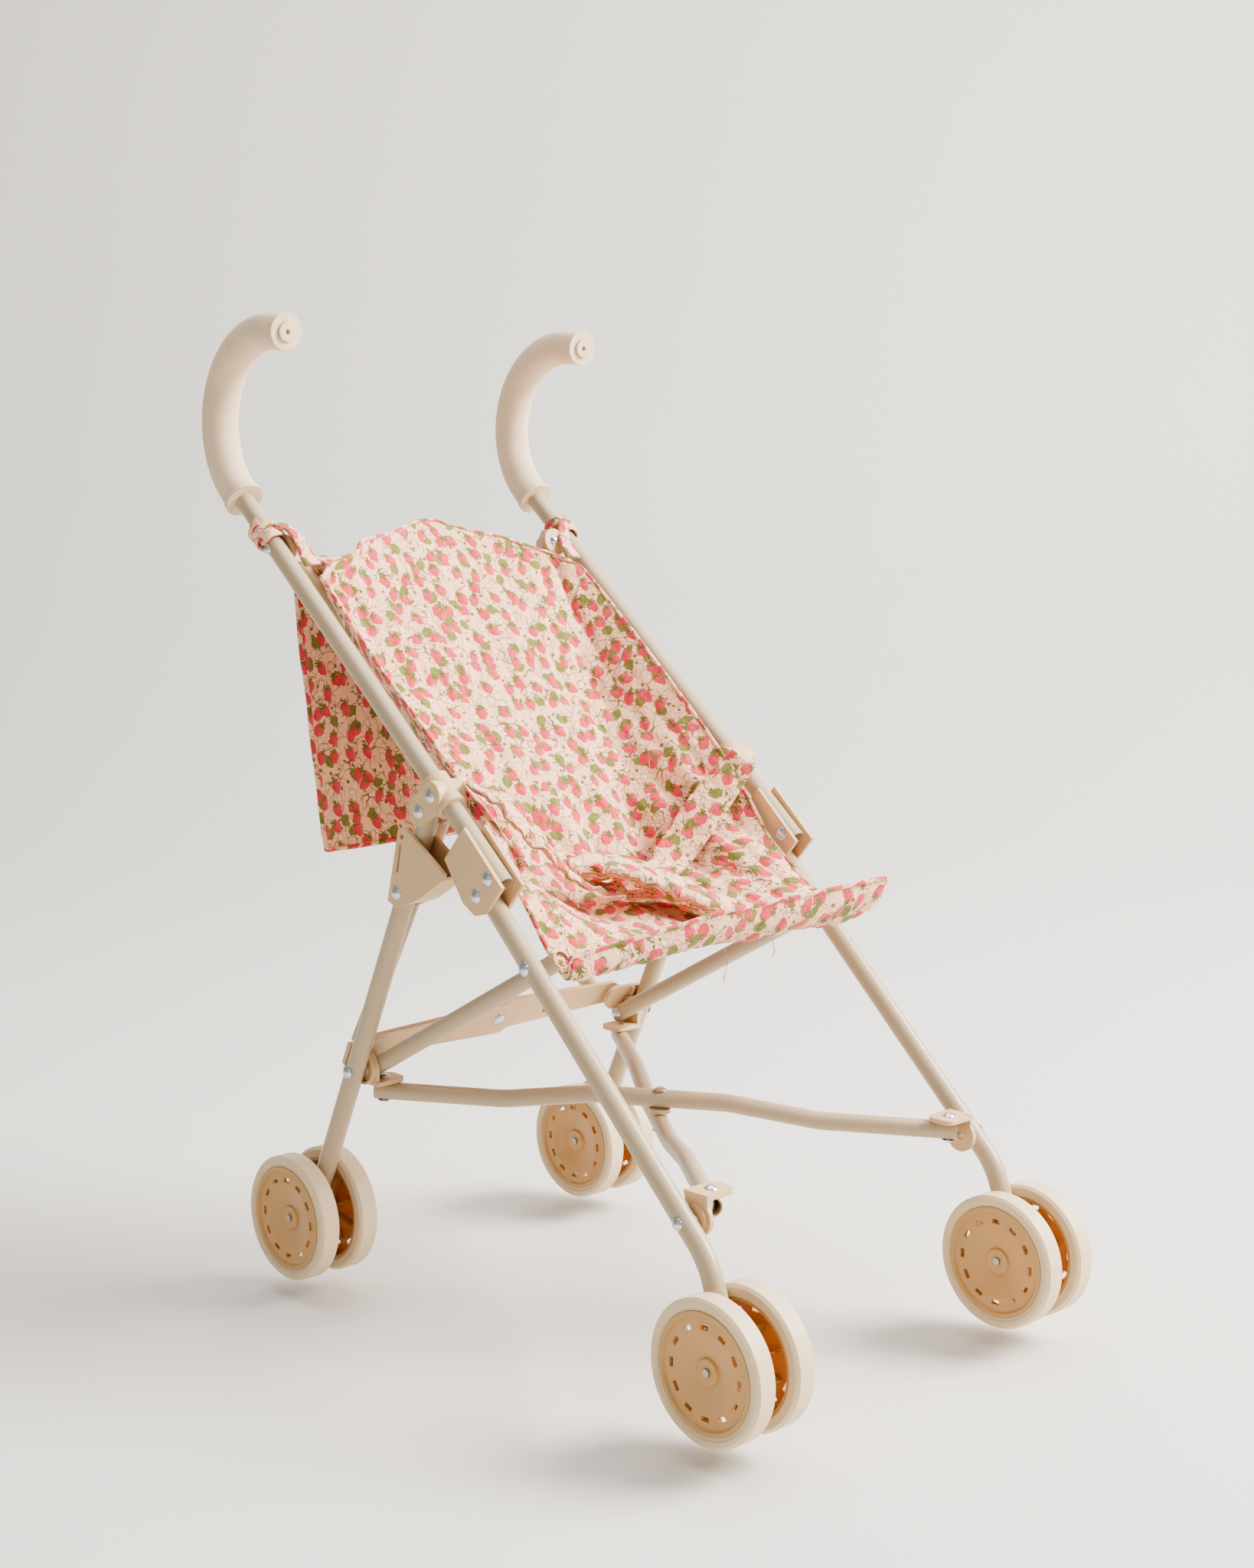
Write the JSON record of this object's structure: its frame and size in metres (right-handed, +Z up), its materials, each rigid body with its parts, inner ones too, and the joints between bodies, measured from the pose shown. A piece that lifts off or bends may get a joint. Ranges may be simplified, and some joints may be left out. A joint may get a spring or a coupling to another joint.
{
  "type": "doll stroller",
  "caption": "Folding doll stroller: curved handle tubes, crossed braces behind and below, double wheels on each leg and a printed fabric sling seat.",
  "frame": {"origin": "on the floor, under the middle of the stroller's box", "axes": "+Z up, the stroller faces -Y, +X to its left side"},
  "size_m": [0.262, 0.4518, 0.5493],
  "materials": {
    "frame_paint": "satin powder coat",
    "grip_foam": "fine closed-cell foam",
    "plug_plastic": "satin",
    "rivet_steel": "polished zinc plate",
    "axle_steel": "bright",
    "tyre_cream": "satin",
    "wheel_amber": "satin, slightly translucent",
    "bracket_plastic": "satin moulded",
    "printed_cotton": "quilted cotton with a strawberry print"
  },
  "bodies": {
    "handle_right": {"handle_tube_right": "frame_paint", "grip_right": "grip_foam", "grip_plug_right": "grip_foam", "collar_right": "bracket_plastic", "rivets_handle_right": "rivet_steel", "seat_sling": "printed_cotton", "rear_panel": "printed_cotton", "waist_belt": "printed_cotton"},
    "handle_left": {"handle_tube_left": "frame_paint", "grip_left": "grip_foam", "grip_plug_left": "grip_foam", "collar_left": "bracket_plastic", "rivets_handle_left": "rivet_steel"},
    "top_bracket_right": {"top_bracket_right": "bracket_plastic"},
    "top_bracket_left": {"top_bracket_left": "bracket_plastic"},
    "back_tube_rear": {"back_tube_rear": "frame_paint", "rivets_back_rear": "rivet_steel"},
    "back_tube_front": {"back_tube_front": "frame_paint", "rivets_back_front": "rivet_steel"},
    "bottom_tube_upper": {"bottom_tube_upper": "frame_paint", "rivets_bottom_upper": "rivet_steel"},
    "bottom_tube_lower": {"bottom_tube_lower": "frame_paint", "bottom_spacer": "bracket_plastic", "rivets_bottom_lower": "rivet_steel"},
    "rear_leg_right": {"rear_leg_right": "frame_paint", "rivets_rear_leg_right": "rivet_steel", "rear_clip_right": "bracket_plastic"},
    "front_leg_right": {"front_leg_right": "frame_paint", "u_bracket_right": "bracket_plastic", "rivets_front_leg_right": "rivet_steel"},
    "side_strut_right": {"side_strut_right": "frame_paint"},
    "catch_right": {"catch_right": "bracket_plastic"},
    "rear_bracket_right": {"rear_bracket_right": "bracket_plastic"},
    "front_bracket_right": {"front_bracket_right": "bracket_plastic"},
    "lock_bar_right": {"lock_bar_right": "bracket_plastic", "rivet_lock": "rivet_steel"},
    "front_wheels_right": {"wheel_discs_front_right": "wheel_amber", "tyres_front_right": "tyre_cream", "axle_front_right": "axle_steel"},
    "rear_wheels_right": {"wheel_discs_rear_right": "wheel_amber", "tyres_rear_right": "tyre_cream", "axle_rear_right": "axle_steel"},
    "rear_leg_left": {"rear_leg_left": "frame_paint", "rivets_rear_leg_left": "rivet_steel", "rear_clip_left": "bracket_plastic"},
    "front_leg_left": {"front_leg_left": "frame_paint", "u_bracket_left": "bracket_plastic", "rivets_front_leg_left": "rivet_steel"},
    "side_strut_left": {"side_strut_left": "frame_paint"},
    "catch_left": {"catch_left": "bracket_plastic"},
    "rear_bracket_left": {"rear_bracket_left": "bracket_plastic"},
    "front_bracket_left": {"front_bracket_left": "bracket_plastic"},
    "lock_bar_left": {"lock_bar_left": "bracket_plastic"},
    "front_wheels_left": {"wheel_discs_front_left": "wheel_amber", "tyres_front_left": "tyre_cream", "axle_front_left": "axle_steel"},
    "rear_wheels_left": {"wheel_discs_rear_left": "wheel_amber", "tyres_rear_left": "tyre_cream", "axle_rear_left": "axle_steel"}
  },
  "joints": [
    {"name": "top_bracket_right_tilt", "type": "hinge", "parent": "handle_right", "child": "top_bracket_right", "pos_m": [-0.093, 0.16381, 0.4177], "axis": [1, 0, 0], "range_deg": [-15, 0]},
    {"name": "frame_fold", "type": "hinge", "parent": "top_bracket_right", "child": "back_tube_rear", "pos_m": [-0.093, 0.16381, 0.4177], "axis": [0, 0.9864, -0.1644], "range_deg": [0, 25.1], "deforming": ["seat_sling", "rear_panel", "waist_belt"]},
    {"name": "back_cross", "type": "hinge", "parent": "back_tube_rear", "child": "back_tube_front", "pos_m": [0, 0.14086, 0.28], "axis": [0, 0.9864, -0.1644], "range_deg": [-50.32, 0]},
    {"name": "top_bracket_left_turn", "type": "hinge", "parent": "back_tube_front", "child": "top_bracket_left", "pos_m": [0.093, 0.16381, 0.4177], "axis": [0, 0.9864, -0.1644], "range_deg": [0, 25.17]},
    {"name": "top_bracket_left_tilt", "type": "hinge", "parent": "top_bracket_left", "child": "handle_left", "pos_m": [0.093, 0.16381, 0.4177], "axis": [1, 0, 0], "range_deg": [0, 15]},
    {"name": "rear_leg_right_swing", "type": "hinge", "parent": "handle_right", "child": "rear_leg_right", "pos_m": [-0.111, 0.02791, 0.2807], "axis": [1, 0, 0], "range_deg": [-33.53, 0]},
    {"name": "front_leg_right_swing", "type": "hinge", "parent": "handle_right", "child": "front_leg_right", "pos_m": [-0.111, -0.02609, 0.2505], "axis": [1, 0, 0], "range_deg": [-77.14, 0]},
    {"name": "side_strut_right_turn", "type": "hinge", "parent": "rear_leg_right", "child": "side_strut_right", "pos_m": [-0.0937, 0.10161, 0.1268], "axis": [1, 0, 0], "range_deg": [-1.56, 0]},
    {"name": "rear_bracket_right_tilt", "type": "hinge", "parent": "rear_leg_right", "child": "rear_bracket_right", "pos_m": [-0.101, 0.10161, 0.1268], "axis": [1, 0, 0], "range_deg": [-20.45, 0]},
    {"name": "catch_right_lift", "type": "hinge", "parent": "rear_leg_right", "child": "catch_right", "pos_m": [-0.111, 0.04994, 0.2347], "axis": [1, 0, 0], "range_deg": [-34.09, 0]},
    {"name": "lock_bar_right_fold", "type": "hinge", "parent": "rear_leg_right", "child": "lock_bar_right", "pos_m": [-0.093, 0.09862, 0.13306], "axis": [0, 0.9019, 0.432], "range_deg": [-74.58, 0]},
    {"name": "front_wheels_right_spin", "type": "hinge", "parent": "front_leg_right", "child": "front_wheels_right", "pos_m": [-0.111, -0.18989, 0.036], "axis": [1, 0, 0], "continuous": true},
    {"name": "rear_wheels_right_spin", "type": "hinge", "parent": "rear_leg_right", "child": "rear_wheels_right", "pos_m": [-0.111, 0.14511, 0.036], "axis": [1, 0, 0], "continuous": true},
    {"name": "rear_leg_left_swing", "type": "hinge", "parent": "handle_left", "child": "rear_leg_left", "pos_m": [0.111, 0.02791, 0.2807], "axis": [1, 0, 0], "range_deg": [-33.53, 0]},
    {"name": "front_leg_left_swing", "type": "hinge", "parent": "handle_left", "child": "front_leg_left", "pos_m": [0.111, -0.02609, 0.2505], "axis": [1, 0, 0], "range_deg": [-77.14, 0]},
    {"name": "side_strut_left_turn", "type": "hinge", "parent": "rear_leg_left", "child": "side_strut_left", "pos_m": [0.0937, 0.10161, 0.1268], "axis": [1, 0, 0], "range_deg": [-1.56, 0]},
    {"name": "rear_bracket_left_tilt", "type": "hinge", "parent": "rear_leg_left", "child": "rear_bracket_left", "pos_m": [0.101, 0.10161, 0.1268], "axis": [1, 0, 0], "range_deg": [-20.45, 0]},
    {"name": "catch_left_lift", "type": "hinge", "parent": "rear_leg_left", "child": "catch_left", "pos_m": [0.111, 0.04994, 0.2347], "axis": [1, 0, 0], "range_deg": [-34.09, 0]},
    {"name": "lock_bar_left_fold", "type": "hinge", "parent": "rear_leg_left", "child": "lock_bar_left", "pos_m": [0.093, 0.09862, 0.13306], "axis": [0, 0.9019, 0.432], "range_deg": [0, 74.58]},
    {"name": "front_wheels_left_spin", "type": "hinge", "parent": "front_leg_left", "child": "front_wheels_left", "pos_m": [0.111, -0.18989, 0.036], "axis": [1, 0, 0], "continuous": true},
    {"name": "rear_wheels_left_spin", "type": "hinge", "parent": "rear_leg_left", "child": "rear_wheels_left", "pos_m": [0.111, 0.14511, 0.036], "axis": [1, 0, 0], "continuous": true},
    {"name": "bottom_tube_right_turn", "type": "hinge", "parent": "rear_bracket_right", "child": "bottom_tube_upper", "pos_m": [-0.092, 0.09991, 0.1122], "axis": [0, -0.038, 0.9993], "range_deg": [-26.74, 0]},
    {"name": "bottom_cross", "type": "hinge", "parent": "bottom_tube_upper", "child": "bottom_tube_lower", "pos_m": [0, -0.02909, 0.1073], "axis": [0, -0.038, 0.9993], "range_deg": [0, 53.47]},
    {"name": "front_bracket_left_turn", "type": "hinge", "parent": "bottom_tube_upper", "child": "front_bracket_left", "pos_m": [0.092, -0.15809, 0.1024], "axis": [0, -0.038, 0.9993], "range_deg": [0, 26.74]},
    {"name": "front_bracket_right_turn", "type": "hinge", "parent": "bottom_tube_lower", "child": "front_bracket_right", "pos_m": [-0.092, -0.15809, 0.1024], "axis": [0, -0.038, 0.9993], "range_deg": [-26.74, 0]}
  ],
  "couplings": [
    {"joint": "top_bracket_right_tilt", "follows": "frame_fold", "ratio": -0.5955},
    {"joint": "back_cross", "follows": "frame_fold", "ratio": -2},
    {"joint": "top_bracket_left_turn", "follows": "frame_fold", "ratio": 1},
    {"joint": "top_bracket_left_tilt", "follows": "frame_fold", "ratio": 0.5955},
    {"joint": "rear_leg_right_swing", "follows": "frame_fold", "ratio": -1.3325},
    {"joint": "front_leg_right_swing", "follows": "frame_fold", "ratio": -3.0665},
    {"joint": "side_strut_right_turn", "follows": "frame_fold", "ratio": -0.0613},
    {"joint": "rear_bracket_right_tilt", "follows": "frame_fold", "ratio": -0.8124},
    {"joint": "catch_right_lift", "follows": "frame_fold", "ratio": -1.3546},
    {"joint": "lock_bar_right_fold", "follows": "frame_fold", "ratio": -2.9644},
    {"joint": "rear_leg_left_swing", "follows": "frame_fold", "ratio": -1.3325},
    {"joint": "front_leg_left_swing", "follows": "frame_fold", "ratio": -3.0665},
    {"joint": "side_strut_left_turn", "follows": "frame_fold", "ratio": -0.0613},
    {"joint": "rear_bracket_left_tilt", "follows": "frame_fold", "ratio": -0.8124},
    {"joint": "catch_left_lift", "follows": "frame_fold", "ratio": -1.3546},
    {"joint": "lock_bar_left_fold", "follows": "frame_fold", "ratio": 2.9644},
    {"joint": "bottom_tube_right_turn", "follows": "frame_fold", "ratio": -1.0626},
    {"joint": "bottom_cross", "follows": "frame_fold", "ratio": 2.1252},
    {"joint": "front_bracket_left_turn", "follows": "frame_fold", "ratio": 1.0626},
    {"joint": "front_bracket_right_turn", "follows": "frame_fold", "ratio": -1.0626}
  ]
}
